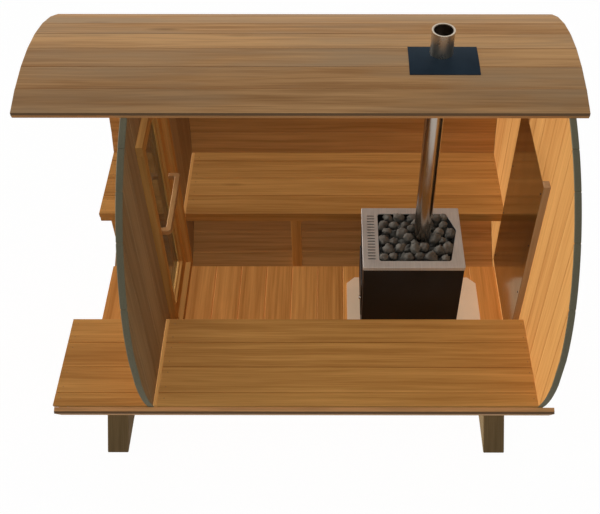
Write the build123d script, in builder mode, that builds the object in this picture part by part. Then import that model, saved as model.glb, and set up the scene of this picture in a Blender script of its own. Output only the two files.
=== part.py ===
from build123d import *
from math import ceil, cos, radians, sin, sqrt
import os

# Barrel sauna with the staves left out along its front, so that the room shows. Millimetres.
# X runs along the barrel from the porch to the stove end, Y from front to back and Z up.
# The origin is on the ground, below the middle of the barrel's axis.

# Barrel of flat staves
barrel_length = 2360
barrel_radius = 989
stave_thickness = 30
stave_count = 49
missing_staves = 13
stave_joint = 0.4
roof_edge_angle = 19.4
ground_clearance = 79
stave_groups = ("roof_staves", "back_staves", "lower_back_staves", "lower_front_staves")

# Flat faces of neighbours lie this far apart where a piece is dropped into place
seat_clearance = 0.3

# Small bevel on the edges of boards and doors
edge_bevel = 2

# End walls
wall_thickness = 30
porch_depth = 441
rear_overhang = 49

# Doorway and its frame
door_opening_width = 490
door_head_drop = 322
door_sill_height = 420
door_frame_width = 50
door_frame_inside = 31
door_frame_outside = 24

# Door leaf
leaf_clearance = 10
leaf_thickness = 57
stile_width = 66
rail_height = 90
glass_thickness = 8

# Bow handles, one on each side of the leaf
handle_length = 412
handle_reach = 62
handle_bar = 28
handle_height = 1155
handle_corner = 22
handle_bevel = 6

# Lift-off hinges
hinge_height = 80
hinge_offset = 210
hinge_plate_width = 38
hinge_plate_thickness = 3
hinge_plate_gap = 7.5
knuckle_radius = 6
knuckle_standoff = 1
pin_radius = 3
pin_clearance = 0.1

# Floor
floor_height = 231
floor_thickness = 28
floor_half_width = 380
bearer_width = 45
bearer_offset = 250

# Benches
bench_inner_edge = 370
board_pitch = 146
board_thickness = 28
board_joint = 1
narrowest_board = 30
end_trim_width = 17
apron_height = 38
apron_thickness = 28
apron_setback = 6
cleat_height = 45
cleat_thickness = 28
post_width = 58
post_depth = 40
post_position = -77
porch_cleat_inset = 20

# Cradles
cradle_thickness = 111
cradle_half_width = 737
cradle_end_angle = 45
cradle_tip_height = 210
left_cradle_inset = 113
right_cradle_inset = 129

# Heater
heater_position = 546
heater_length = 518
heater_depth = 420
heater_middle = 12
heater_height = 653
heater_skin = 3
top_skirt = 22
top_plate = 5
top_corner = 8
basin_depth = 180
basin_left_border = 84
basin_right_border = 69
basin_front_border = 44
basin_tip = 44
basin_tip_offset = 50
basin_corner = 14
slot_count = 16
slot_length = 41
slot_width = 8
slot_pitch = 20
slot_inset = 47
foot_height = 30
foot_radius = 20
foot_inset = 45
stone_crown = 40
stone_shoulder = 46

# Fire door on the heater's face towards the entrance
fire_door_width = 300
fire_door_height = 260
fire_door_thickness = 6
fire_door_corner = 20
fire_door_drop = 215
latch_radius = 10
latch_length = 9
latch_inset = 30
latch_bevel = 2

# Floor plate below the heater
plate_length = 757
plate_depth = 546
plate_thickness = 9
plate_corner = 45

# Flue and chimney
flue_position = 596
flue_radius = 43.5
flue_wall = 2
chimney_radius = 50
chimney_rise = 117
chimney_hole_clearance = 2
chimney_sleeve_inset = 2
flashing_length = 297
flashing_offset = 6
flashing_front_angle = 7.6
flashing_back_angle = 3.1
flashing_thickness = 2.5

# Heat shield on the rear wall
shield_half_width = 300
shield_bottom = 391
shield_height = 1165
shield_thickness = 2
batten_thickness = 31
batten_width = 45

# Places that follow from the sizes above
axis_height = barrel_radius + ground_clearance
stave_pitch = 360 / stave_count
stave_apothem = barrel_radius * cos(radians(stave_pitch / 2))
hollow_apothem = stave_apothem - stave_thickness
wall_radius = hollow_apothem - seat_clearance
present_staves = stave_count - missing_staves
porch_end = -barrel_length / 2
rear_end = barrel_length / 2
door_wall_outer = porch_end + porch_depth
door_wall_inner = door_wall_outer + wall_thickness
rear_wall_outer = rear_end - rear_overhang
rear_wall_inner = rear_wall_outer - wall_thickness
door_opening_height = axis_height + barrel_radius - door_head_drop - door_sill_height
jamb_outer = door_opening_width / 2 + door_frame_width
frame_bottom = door_sill_height - door_frame_width
frame_top = door_sill_height + door_opening_height + door_frame_width
frame_outer_face = door_wall_outer - door_frame_outside
frame_inner_face = door_wall_inner + door_frame_inside
leaf_inner_face = frame_outer_face + leaf_thickness
leaf_half_width = door_opening_width / 2 - leaf_clearance
leaf_bottom = door_sill_height + leaf_clearance
leaf_height = door_opening_height - 2 * leaf_clearance
hinge_x = frame_outer_face - knuckle_radius - knuckle_standoff
hinge_y = door_opening_width / 2 - leaf_clearance / 2
stave_corner_angle = 90 + roof_edge_angle
hollow_corner = hollow_apothem / cos(radians(stave_pitch / 2))
front_edge_drop = hollow_corner * sin(radians(present_staves * stave_pitch - stave_corner_angle))
bench_underside = axis_height - front_edge_drop + seat_clearance
bench_height = bench_underside + board_thickness
seat_reach = sqrt(wall_radius**2 - (axis_height - bench_height)**2)
board_count = ceil((seat_reach - bench_inner_edge - narrowest_board) / board_pitch)
floor_underside = floor_height - floor_thickness
heater_left = heater_position - heater_length / 2
heater_top = floor_height + plate_thickness + heater_height
casing_top = heater_top - top_plate
casing_bottom = floor_height + plate_thickness + foot_height
casing_length = heater_length - 2 * (heater_skin + seat_clearance)
casing_depth = heater_depth - 2 * (heater_skin + seat_clearance)
casing_left = heater_position - casing_length / 2
basin_length = heater_length - basin_left_border - basin_right_border
basin_left = heater_left + basin_left_border
basin_shoulder = basin_left + basin_length
basin_front = heater_middle - heater_depth / 2 + basin_front_border
basin_back = heater_middle + heater_depth / 2 - basin_front_border
basin_floor = heater_top - basin_depth
chimney_top = axis_height + barrel_radius + chimney_rise
sleeve_bottom = axis_height + hollow_apothem + chimney_sleeve_inset


def section(x):
    """Plane across the barrel at x, with the barrel's axis at its origin, +Y right and +Z up."""
    return Plane(origin=(x, 0, axis_height), x_dir=(0, 1, 0), z_dir=(1, 0, 0))


def shell_hollow():
    """The many-sided space inside the staves, a clearance smaller."""
    with BuildSketch() as hollow:
        RegularPolygon(wall_radius, stave_count, major_radius=False, rotation=stave_corner_angle)
    return hollow.sketch


def save(part, name):
    """Label a finished piece and write it to its own file."""
    part.label = name
    export_step(part, f"parts/{name}.step")


def stave_angle(index):
    """Direction of a stave's middle, counted from the roof's front edge over the top to the back."""
    return stave_corner_angle - (index + 0.5) * stave_pitch


os.makedirs("parts", exist_ok=True)


# Shell
stave_width = 2 * barrel_radius * sin(radians(stave_pitch / 2)) - stave_joint
for group, name in enumerate(stave_groups):
    first = group * present_staves // len(stave_groups)
    count = (group + 1) * present_staves // len(stave_groups) - first
    with BuildPart() as staves:
        with BuildSketch(section(porch_end)):
            with PolarLocations(stave_apothem - stave_thickness / 2, count, stave_angle(first),
                                -(count - 1) * stave_pitch, endpoint=True):
                Trapezoid(stave_width, stave_thickness, 90 - stave_pitch / 2, rotation=90)
        extrude(amount=barrel_length)
        if name == "roof_staves":
            with BuildSketch(Plane.XY.offset(axis_height)):
                with Locations((flue_position, heater_middle)):
                    Circle(chimney_radius + chimney_hole_clearance)
            extrude(amount=barrel_radius, mode=Mode.SUBTRACT)
    save(staves.part, name)


# Rear wall, one round panel inside the shell
with BuildPart() as rear_wall:
    with BuildSketch(section(rear_wall_inner)):
        Circle(wall_radius)
    extrude(amount=wall_thickness)
save(rear_wall.part, "rear_wall")


# Door wall, the same panel in four parts around the doorway
def door_wall_piece(y_middle, width, bottom, top):
    """Part of the round panel between two heights, width wide about y_middle."""
    with BuildPart() as piece:
        with BuildSketch(section(door_wall_outer)):
            Circle(wall_radius)
            with Locations((y_middle, (bottom + top) / 2 - axis_height)):
                Rectangle(width, top - bottom, mode=Mode.INTERSECT)
        extrude(amount=wall_thickness)
    return piece.part


side_middle = jamb_outer + barrel_radius / 2
wall_bottom = axis_height - barrel_radius
wall_top = axis_height + barrel_radius
save(door_wall_piece(-side_middle, barrel_radius, wall_bottom, wall_top), "door_wall_front")
save(door_wall_piece(side_middle, barrel_radius, wall_bottom, wall_top), "door_wall_back")
save(door_wall_piece(0, 2 * jamb_outer, frame_top, wall_top), "door_wall_over")
save(door_wall_piece(0, 2 * jamb_outer, wall_bottom, frame_bottom), "door_wall_under")


# Door frame
frame_depth = frame_inner_face - frame_outer_face
frame_middle = (frame_inner_face + frame_outer_face) / 2

with BuildPart() as door_jambs:
    with BuildSketch(Plane.XY.offset(door_sill_height)):
        with Locations((frame_middle, jamb_outer - door_frame_width / 2),
                       (frame_middle, door_frame_width / 2 - jamb_outer)):
            Rectangle(frame_depth, door_frame_width)
    extrude(amount=door_opening_height)
save(door_jambs.part, "door_jambs")

for name, bottom in (("door_sill", frame_bottom), ("door_head", frame_top - door_frame_width)):
    with BuildPart() as frame_member:
        with BuildSketch(Plane.XY.offset(bottom)):
            with Locations((frame_middle, 0)):
                Rectangle(frame_depth, 2 * jamb_outer)
        extrude(amount=door_frame_width)
        chamfer(frame_member.edges().filter_by(Axis.Y), edge_bevel)
    save(frame_member.part, name)


# Door leaf, a pane of glass between two stiles and two rails
leaf_middle = (frame_outer_face + leaf_inner_face) / 2
pane_height = leaf_height - 2 * rail_height
pane_width = 2 * (leaf_half_width - stile_width)

with BuildPart() as door_stiles:
    with BuildSketch(Plane.XY.offset(leaf_bottom)):
        with Locations((leaf_middle, leaf_half_width - stile_width / 2),
                       (leaf_middle, stile_width / 2 - leaf_half_width)):
            Rectangle(leaf_thickness, stile_width)
    extrude(amount=leaf_height)
    chamfer(door_stiles.edges().filter_by(Axis.Z), edge_bevel)
save(door_stiles.part, "door_stiles")

with BuildPart() as door_rails:
    for bottom in (leaf_bottom, leaf_bottom + leaf_height - rail_height):
        with BuildSketch(Plane.XY.offset(bottom)):
            with Locations((leaf_middle, 0)):
                Rectangle(leaf_thickness, pane_width)
        extrude(amount=rail_height)
save(door_rails.part, "door_rails")

with BuildPart() as door_glass:
    with BuildSketch(Plane.XY.offset(leaf_bottom + rail_height)):
        with Locations((leaf_middle, 0)):
            Rectangle(glass_thickness, pane_width)
    extrude(amount=pane_height)
save(door_glass.part, "door_glass")


# Bow handles across the leaf, their ends on the stiles
def bow_handle(face, outward):
    """Handle on the plane x = face that stands off towards outward, +1 or -1 along X."""
    finger_gap = handle_reach - handle_bar
    with BuildPart() as handle:
        with BuildSketch(Plane.XY.offset(handle_height - handle_bar / 2)):
            with Locations((face + outward * handle_reach / 2, 0)):
                Rectangle(handle_reach, handle_length)
            with Locations((face + outward * finger_gap / 2, 0)):
                Rectangle(finger_gap, handle_length - 2 * handle_bar, mode=Mode.SUBTRACT)
        extrude(amount=handle_bar)
        upright = handle.edges().filter_by(Axis.Z)
        ends = upright.sort_by(Axis.X)
        outer = ends[-2:] if outward > 0 else ends[:2]
        fillet(outer, handle_corner)
        grip = handle.faces().sort_by(Axis.X)[-1 if outward > 0 else 0]
        chamfer(grip.edges().filter_by(Axis.Y), handle_bevel)
    return handle.part


save(bow_handle(leaf_inner_face, 1), "door_handle_inside")
save(bow_handle(frame_outer_face, -1), "door_handle_outside")


# Hinges on the outer faces of the back jamb and the leaf
hinge_bottoms = (leaf_bottom + hinge_offset - hinge_height / 2,
                 leaf_bottom + leaf_height - hinge_offset - hinge_height / 2)
plate_x = frame_outer_face - hinge_plate_thickness / 2


def hinge_halves(side, knuckle_bottom, knuckle_height):
    """Plates beside the pins' axis, on the jamb (+1) or the leaf (-1), each with its knuckle."""
    with BuildPart() as halves:
        for bottom in hinge_bottoms:
            with BuildSketch(Plane.XY.offset(bottom)):
                with Locations((plate_x, hinge_y + side * (hinge_plate_gap + hinge_plate_width / 2))):
                    Rectangle(hinge_plate_thickness, hinge_plate_width)
            extrude(amount=hinge_height)
            with BuildSketch(Plane.XY.offset(bottom + knuckle_bottom)):
                with Locations((plate_x, hinge_y + side * hinge_plate_gap / 2)):
                    Rectangle(hinge_plate_thickness, hinge_plate_gap)
                with Locations((hinge_x, hinge_y)):
                    Circle(knuckle_radius)
            extrude(amount=knuckle_height)
    return halves.part


def hinge_rods(radius, height):
    """Upright rods on the axis of both hinges."""
    with BuildPart() as rods:
        for bottom in hinge_bottoms:
            with BuildSketch(Plane.XY.offset(bottom)):
                with Locations((hinge_x, hinge_y)):
                    Circle(radius)
            extrude(amount=height)
    return rods.part


with BuildPart() as hinge_jamb_halves:
    add(hinge_halves(1, 0, hinge_height / 2 - seat_clearance))
    add(hinge_rods(pin_radius, hinge_height - edge_bevel))
save(hinge_jamb_halves.part, "hinge_jamb_halves")

with BuildPart() as hinge_leaf_halves:
    add(hinge_halves(-1, hinge_height / 2, hinge_height / 2))
    add(hinge_rods(pin_radius + pin_clearance, hinge_height), mode=Mode.SUBTRACT)
save(hinge_leaf_halves.part, "hinge_leaf_halves")


# Floors of the room and the porch
def floor_panel(left, right):
    """Deck from x = left to x = right."""
    with BuildPart() as deck:
        with BuildSketch(Plane.XY.offset(floor_underside)):
            with Locations(((left + right) / 2, 0)):
                Rectangle(right - left, 2 * floor_half_width)
        extrude(amount=floor_thickness)
    return deck.part


save(floor_panel(door_wall_inner, rear_wall_inner), "room_floor")
save(floor_panel(porch_end, door_wall_outer), "porch_floor")


# Bearers under both floors, cut to the shell
with BuildPart() as floor_bearers:
    for left, right in ((porch_end, door_wall_outer), (door_wall_inner, rear_wall_inner)):
        with BuildSketch(section(left)):
            with Locations((bearer_offset, floor_underside - axis_height),
                           (-bearer_offset, floor_underside - axis_height)):
                Rectangle(bearer_width, floor_underside, align=(Align.CENTER, Align.MAX))
            add(shell_hollow(), mode=Mode.INTERSECT)
        extrude(amount=right - left)
save(floor_bearers.part, "floor_bearers")


# Seats and what carries them
def seat_boards(left, right, side):
    """Boards from x = left to x = right at the back (+1) or front (-1), the last ripped to fit the shell."""
    board_width = board_pitch - board_joint
    with BuildPart() as boards:
        with BuildSketch(section(left)):
            for i in range(board_count):
                y_middle = side * (bench_inner_edge + i * board_pitch + board_width / 2)
                with Locations((y_middle, bench_underside - axis_height)):
                    Rectangle(board_width, board_thickness, align=(Align.CENTER, Align.MIN))
            add(shell_hollow(), mode=Mode.INTERSECT)
        extrude(amount=right - left)
        chamfer(boards.edges().filter_by(Axis.X).group_by(Axis.Z)[-1], edge_bevel)
    return boards.part


for name, left, right in (("bench", door_wall_inner + end_trim_width, rear_wall_inner),
                          ("porch_bench", porch_end, door_wall_outer)):
    save(seat_boards(left, right, 1), f"back_{name}")
    save(seat_boards(left, right, -1), f"front_{name}")

# Strips across the ends of the boards, beside the door wall
with BuildPart() as bench_end_trims:
    with BuildSketch(section(door_wall_inner)):
        with Locations((bench_inner_edge, bench_underside - axis_height)):
            Rectangle(barrel_radius, board_thickness, align=(Align.MIN, Align.MIN))
        mirror(about=Plane.YZ)
        add(shell_hollow(), mode=Mode.INTERSECT)
    extrude(amount=end_trim_width)
save(bench_end_trims.part, "bench_end_trims")

# Rails on edge under the front of the seats, in the room and on the porch
apron_front = bench_inner_edge + apron_setback
with BuildPart() as bench_aprons:
    for left, right in ((porch_end, door_wall_outer), (door_wall_inner, rear_wall_inner)):
        with BuildSketch(section(left)):
            with Locations((apron_front, bench_underside - axis_height)):
                Rectangle(apron_thickness, apron_height, align=(Align.MIN, Align.MAX))
        extrude(amount=right - left)
    mirror(about=Plane.XZ)
save(bench_aprons.part, "bench_aprons")

# Short rails across the ends of the seats, from the aprons to the shell
cleat_front = apron_front + apron_thickness
cleat_lefts = (porch_end + porch_cleat_inset, door_wall_outer - cleat_thickness,
               door_wall_inner, rear_wall_inner - cleat_thickness)
with BuildPart() as bench_cleats:
    for left in cleat_lefts:
        with BuildSketch(section(left)):
            with Locations((cleat_front, bench_underside - axis_height)):
                Rectangle(barrel_radius, cleat_height, align=(Align.MIN, Align.MAX))
            mirror(about=Plane.YZ)
            add(shell_hollow(), mode=Mode.INTERSECT)
        extrude(amount=cleat_thickness)
save(bench_cleats.part, "bench_cleats")

# Posts behind the aprons, standing on the shell
porch_post_left = cleat_lefts[0] + cleat_thickness
with BuildPart() as bench_posts:
    for left, width in ((porch_post_left, post_depth), (post_position - post_width / 2, post_width)):
        with BuildSketch(section(left)):
            with Locations((cleat_front, bench_underside - axis_height)):
                Rectangle(post_depth, axis_height, align=(Align.MIN, Align.MAX))
            mirror(about=Plane.YZ)
            add(shell_hollow(), mode=Mode.INTERSECT)
        extrude(amount=width)
save(bench_posts.part, "bench_posts")


# Cradles, planks on edge with a hollow for the barrel
def cradle(left):
    """Cradle with its left face at x = left."""
    with BuildPart() as plank:
        with BuildSketch(section(left)):
            with Locations((0, -axis_height)):
                Trapezoid(2 * cradle_half_width, cradle_tip_height, cradle_end_angle,
                          align=(Align.CENTER, Align.MIN))
            Circle(barrel_radius + seat_clearance, mode=Mode.SUBTRACT)
        extrude(amount=cradle_thickness)
    return plank.part


save(cradle(porch_end + left_cradle_inset), "left_cradle")
save(cradle(rear_end - right_cradle_inset - cradle_thickness), "right_cradle")


# Floor plate with its corners cut off
with BuildPart() as floor_plate:
    with BuildSketch(Plane.XY.offset(floor_height)):
        with Locations((flue_position, heater_middle)):
            Rectangle(plate_length, plate_depth)
        chamfer(vertices(), plate_corner)
    extrude(amount=plate_thickness)
save(floor_plate.part, "floor_plate")


# Heater
with BuildPart() as heater_feet:
    with BuildSketch(Plane.XY.offset(floor_height + plate_thickness)):
        with Locations((heater_position, heater_middle)):
            with GridLocations(casing_length - 2 * foot_inset, casing_depth - 2 * foot_inset, 2, 2):
                Circle(foot_radius)
    extrude(amount=foot_height)
save(heater_feet.part, "heater_feet")


def basin_outline(margin):
    """Five-sided stone basin with round corners, margin smaller all round."""
    front = basin_front + margin
    back = basin_back - margin
    left = basin_left + margin
    shoulder = basin_shoulder - margin
    tip = (shoulder + basin_tip, heater_middle + basin_tip_offset)
    with BuildSketch() as outline:
        with BuildLine():
            Polyline((left, front), (shoulder, front), tip, (shoulder, back), (left, back), close=True)
        make_face()
        fillet(outline.vertices(), basin_corner)
    return outline.sketch


with BuildPart() as heater_casing:
    with BuildSketch(Plane.XY.offset(casing_bottom)):
        with Locations((heater_position, heater_middle)):
            Rectangle(casing_length, casing_depth)
    extrude(amount=casing_top - casing_bottom)
    fillet(heater_casing.edges().filter_by(Axis.Z), top_corner - heater_skin)
    with BuildSketch(Plane.XY.offset(basin_floor)):
        add(basin_outline(0))
    extrude(amount=basin_depth, mode=Mode.SUBTRACT)
save(heater_casing.part, "heater_casing")

with BuildPart() as heater_top_frame:
    with BuildSketch(Plane.XY.offset(heater_top - top_skirt)):
        with Locations((heater_position, heater_middle)):
            RectangleRounded(heater_length, heater_depth, top_corner)
    extrude(amount=top_skirt)
    with BuildSketch(Plane.XY.offset(heater_top - top_skirt)):
        with Locations((heater_position, heater_middle)):
            RectangleRounded(heater_length - 2 * heater_skin, heater_depth - 2 * heater_skin,
                             top_corner - heater_skin)
    extrude(amount=top_skirt - top_plate, mode=Mode.SUBTRACT)
    with BuildSketch(Plane.XY.offset(casing_top)):
        add(basin_outline(0))
        with Locations((heater_left + slot_inset, heater_middle)):
            with GridLocations(0, slot_pitch, 1, slot_count):
                SlotOverall(slot_length, slot_width)
    extrude(amount=top_plate, mode=Mode.SUBTRACT)
    rim = heater_top_frame.faces().sort_by(Axis.Z)[-1].outer_wire().edges()
    fillet(rim, heater_skin)
save(heater_top_frame.part, "heater_top_frame")

with BuildPart() as stone_bed:
    with BuildSketch(Plane.XY.offset(basin_floor)):
        add(basin_outline(seat_clearance))
    extrude(amount=basin_depth)
    with BuildSketch(Plane.XY.offset(heater_top)):
        add(basin_outline(seat_clearance))
    with BuildSketch(Plane.XY.offset(heater_top + stone_crown)):
        add(basin_outline(stone_shoulder))
    loft()
    with BuildSketch(Plane.XY.offset(basin_floor)):
        with Locations((flue_position, heater_middle)):
            Circle(flue_radius + seat_clearance)
    extrude(amount=basin_depth + stone_crown, mode=Mode.SUBTRACT)
save(stone_bed.part, "stone_bed")

fire_door_plane = Plane(origin=(casing_left, heater_middle, casing_top - fire_door_drop),
                        x_dir=(0, -1, 0), z_dir=(-1, 0, 0))
with BuildPart() as fire_door:
    with BuildSketch(fire_door_plane):
        with Locations((0, -fire_door_height / 2)):
            RectangleRounded(fire_door_width, fire_door_height, fire_door_corner)
    extrude(amount=fire_door_thickness)
    chamfer(fire_door.faces().sort_by(Axis.X)[0].edges(), edge_bevel)
save(fire_door.part, "fire_door")

with BuildPart() as fire_door_latch:
    with BuildSketch(fire_door_plane.offset(fire_door_thickness)):
        with Locations((fire_door_width / 2 - latch_inset, -fire_door_height / 2)):
            Circle(latch_radius)
    extrude(amount=latch_length)
    chamfer(fire_door_latch.faces().sort_by(Axis.X)[0].edges(), latch_bevel)
save(fire_door_latch.part, "fire_door_latch")


# Flue and chimney, two pipes on one axis
def pipe(outer_radius, inner_radius, bottom, top):
    """Upright pipe on the flue's axis."""
    with BuildPart() as tube:
        with BuildSketch(Plane.XY.offset(bottom)):
            with Locations((flue_position, heater_middle)):
                Circle(outer_radius)
                Circle(inner_radius, mode=Mode.SUBTRACT)
        extrude(amount=top - bottom)
    return tube.part


save(pipe(flue_radius, flue_radius - flue_wall, basin_floor, chimney_top - flue_wall), "flue_pipe")
save(pipe(chimney_radius, flue_radius + seat_clearance, sleeve_bottom, chimney_top), "chimney_pipe")

with BuildPart() as roof_flashing:
    flashing_inside = barrel_radius + seat_clearance
    flashing_angle = flashing_front_angle + flashing_back_angle
    with BuildSketch(section(flue_position + flashing_offset - flashing_length / 2)):
        with BuildLine():
            inner = CenterArc((0, 0), flashing_inside, 90 - flashing_back_angle, flashing_angle)
            outer = CenterArc((0, 0), flashing_inside + flashing_thickness,
                              90 - flashing_back_angle, flashing_angle)
            Line(inner @ 0, outer @ 0)
            Line(inner @ 1, outer @ 1)
        make_face()
    extrude(amount=flashing_length)
    with BuildSketch(Plane.XY.offset(axis_height)):
        with Locations((flue_position, heater_middle)):
            Circle(chimney_radius + seat_clearance)
    extrude(amount=chimney_top, mode=Mode.SUBTRACT)
save(roof_flashing.part, "roof_flashing")


# Heat shield on two battens
with BuildPart() as shield_battens:
    with BuildSketch(Plane.XY.offset(shield_bottom)):
        batten_place = shield_half_width - batten_width / 2
        with Locations((rear_wall_inner - batten_thickness / 2, batten_place),
                       (rear_wall_inner - batten_thickness / 2, -batten_place)):
            Rectangle(batten_thickness, batten_width)
    extrude(amount=shield_height)
save(shield_battens.part, "shield_battens")

with BuildPart() as heat_shield:
    with BuildSketch(Plane.XY.offset(shield_bottom)):
        with Locations((rear_wall_inner - batten_thickness - shield_thickness / 2, 0)):
            Rectangle(shield_thickness, 2 * shield_half_width)
    extrude(amount=shield_height)
save(heat_shield.part, "heat_shield")
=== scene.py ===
"""Looks of the barrel sauna: boards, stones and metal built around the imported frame. Metres."""

import math
import random

import bmesh
import bpy
from bpy.props import FloatProperty, FloatVectorProperty, IntProperty, PointerProperty
from mathutils import Matrix, Vector, noise


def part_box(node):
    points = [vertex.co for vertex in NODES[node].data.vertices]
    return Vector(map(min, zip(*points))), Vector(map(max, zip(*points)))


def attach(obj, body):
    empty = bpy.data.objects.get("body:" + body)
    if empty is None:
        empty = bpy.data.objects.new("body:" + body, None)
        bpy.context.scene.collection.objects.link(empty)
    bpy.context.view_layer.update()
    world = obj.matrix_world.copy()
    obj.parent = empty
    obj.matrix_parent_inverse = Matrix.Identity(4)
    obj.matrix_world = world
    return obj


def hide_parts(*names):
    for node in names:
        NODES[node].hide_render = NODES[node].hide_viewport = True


bl_info = {
    "name": "Barrel sauna",
    "version": (1, 0, 0),
    "blender": (4, 5, 0),
    "location": "3D View > Sidebar > Sauna",
    "description": "Builds the boards, stones, metal and stage of a cut-away barrel sauna",
    "category": "Object",
}

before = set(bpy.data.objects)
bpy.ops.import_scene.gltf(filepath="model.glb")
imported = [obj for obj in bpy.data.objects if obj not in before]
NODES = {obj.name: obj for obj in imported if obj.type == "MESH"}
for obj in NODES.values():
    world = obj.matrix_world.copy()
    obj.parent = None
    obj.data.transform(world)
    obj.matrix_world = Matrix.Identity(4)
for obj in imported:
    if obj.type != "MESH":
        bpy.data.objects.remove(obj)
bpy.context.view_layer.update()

X, Y, Z = 0, 1, 2
WHITE = (1, 1, 1, 1)

# How much of a direction lies along an axis when it points along it, nearly does, or leans towards it
SQUARE_ON = 0.9
NEARLY_ON = 0.8
FACING = 0.3


def low(node, axis):
    """Lowest coordinate of a frame node along an axis."""
    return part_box(node)[0][axis]


def high(node, axis):
    """Highest coordinate of a frame node along an axis."""
    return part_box(node)[1][axis]


def length_property(name, description, default):
    return FloatProperty(name=name, description=description, default=default, unit="LENGTH")


def colour_property(name, description, default):
    return FloatVectorProperty(name=name, description=description, default=default, subtype="COLOR",
                               size=3, min=0, max=1)


def both_ends(start, end, width):
    """First and last stretch of this width between start and end."""
    return (start, start + width), (end - width, end)


# Sizes that a user would change


class ShellSizes(bpy.types.PropertyGroup):
    """Sizes of the barrel of staves."""

    radius: length_property("Radius", "From the barrel's axis to the outer corners of the staves", 0.989)
    axis_height: length_property("Axis height", "Height of the barrel's axis over the ground", 1.068)
    thickness: length_property("Thickness", "Thickness of the staves", 0.030)
    staves: IntProperty(name="Staves", description="Staves in the whole circle", default=49)
    missing: IntProperty(name="Missing staves", description="Staves left out along the front", default=13)
    joint: length_property("Joint", "Gap between neighbouring staves", 0.0004)
    bevel: length_property("Bevel", "Bevel along the edges of the staves", 0.0018)
    free_bevel: length_property("Free bevel", "Bevel along the corners of a free edge", 0.0004)
    worn: length_property("Worn corner", "How much is worn off the outer corner of a free edge", 0.011)
    front_edge: FloatProperty(name="Front edge", description="Angle from the top to the roof's front edge",
                              default=math.radians(19.4), subtype="ANGLE")
    flue_hole: length_property("Flue hole", "Radius of the hole in the roof for the chimney", 0.052)


class WallSizes(bpy.types.PropertyGroup):
    """Sizes of the upright boards in the two end walls."""

    pitch: length_property("Pitch", "Distance from board to board", 0.1475)
    joint: length_property("Joint", "Gap between neighbouring boards", 0.0012)
    bevel: length_property("Bevel", "Bevel along the edges of the boards", 0.0025)
    clearance: length_property("Clearance", "Gap between the wall and the staves around it", 0.0003)


class FloorSizes(bpy.types.PropertyGroup):
    """Sizes of the floor boards and the bearers under them."""

    room_boards: IntProperty(name="Room boards", description="Boards across the room's floor", default=12)
    porch_boards: IntProperty(name="Porch boards", description="Boards across the porch floor", default=3)
    joint: length_property("Joint", "Gap between neighbouring boards", 0.0015)
    bevel: length_property("Bevel", "Bevel along the edges of the boards", 0.002)
    bearer_width: length_property("Bearer width", "Width of the bearers, which stand on edge", 0.045)
    bearer_bevel: length_property("Bearer bevel", "Bevel along the edges of the bearers", 0.0015)


class SeatSizes(bpy.types.PropertyGroup):
    """Sizes of the four seats and of what carries them."""

    pitch: length_property("Pitch", "Distance from board to board", 0.146)
    joint: length_property("Joint", "Gap between neighbouring boards", 0.0015)
    bevel: length_property("Bevel", "Bevel along the edges of the boards", 0.0016)
    screw_radius: length_property("Screw radius", "Radius of the screw heads", 0.003)
    apron_thickness: length_property("Apron thickness", "Thickness of the boards under the seats", 0.028)
    cleat_thickness: length_property("Cleat thickness", "Thickness of the cleats at the seats' ends", 0.028)
    post_width: length_property("Post width", "Width of the posts across the barrel", 0.040)
    room_post: length_property("Room post", "Depth of the room's posts along the barrel", 0.058)
    room_post_place: length_property("Room post place", "Where the room's posts start along X", -0.106)
    porch_post: length_property("Porch post", "Depth of the porch's posts along the barrel", 0.040)
    frame_bevel: length_property("Frame bevel", "Bevel along trims, aprons and posts", 0.002)
    cleat_bevel: length_property("Cleat bevel", "Bevel along the cleats", 0.0015)


class DoorSizes(bpy.types.PropertyGroup):
    """Sizes of the door's fittings."""

    bead: length_property("Bead", "Width of the strips that hold the glass", 0.012)
    bead_bevel: length_property("Bead bevel", "Bevel along the strips that hold the glass", 0.003)
    bevel: length_property("Bevel", "Bevel along the edges of the door's members", 0.002)
    handle_bevel: length_property("Handle bevel", "Bevel along the edges of the handles", 0.004)
    screw_radius: length_property("Screw radius", "Radius of the hinge screws", 0.0035)


class StoneSizes(bpy.types.PropertyGroup):
    """Sizes of the heap of stones."""

    width: length_property("Width", "Usual width of a stone", 0.062)
    crown: length_property("Crown", "Height of the heap over the heater's top", 0.026)
    tip_place: length_property("Tip place", "Where along Y the basin is longest", 0.062)
    tip_length: length_property("Tip length", "How far the tip reaches past the basin's corners", 0.044)
    seed: IntProperty(name="Seed", description="Which heap is made", default=7)


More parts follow.
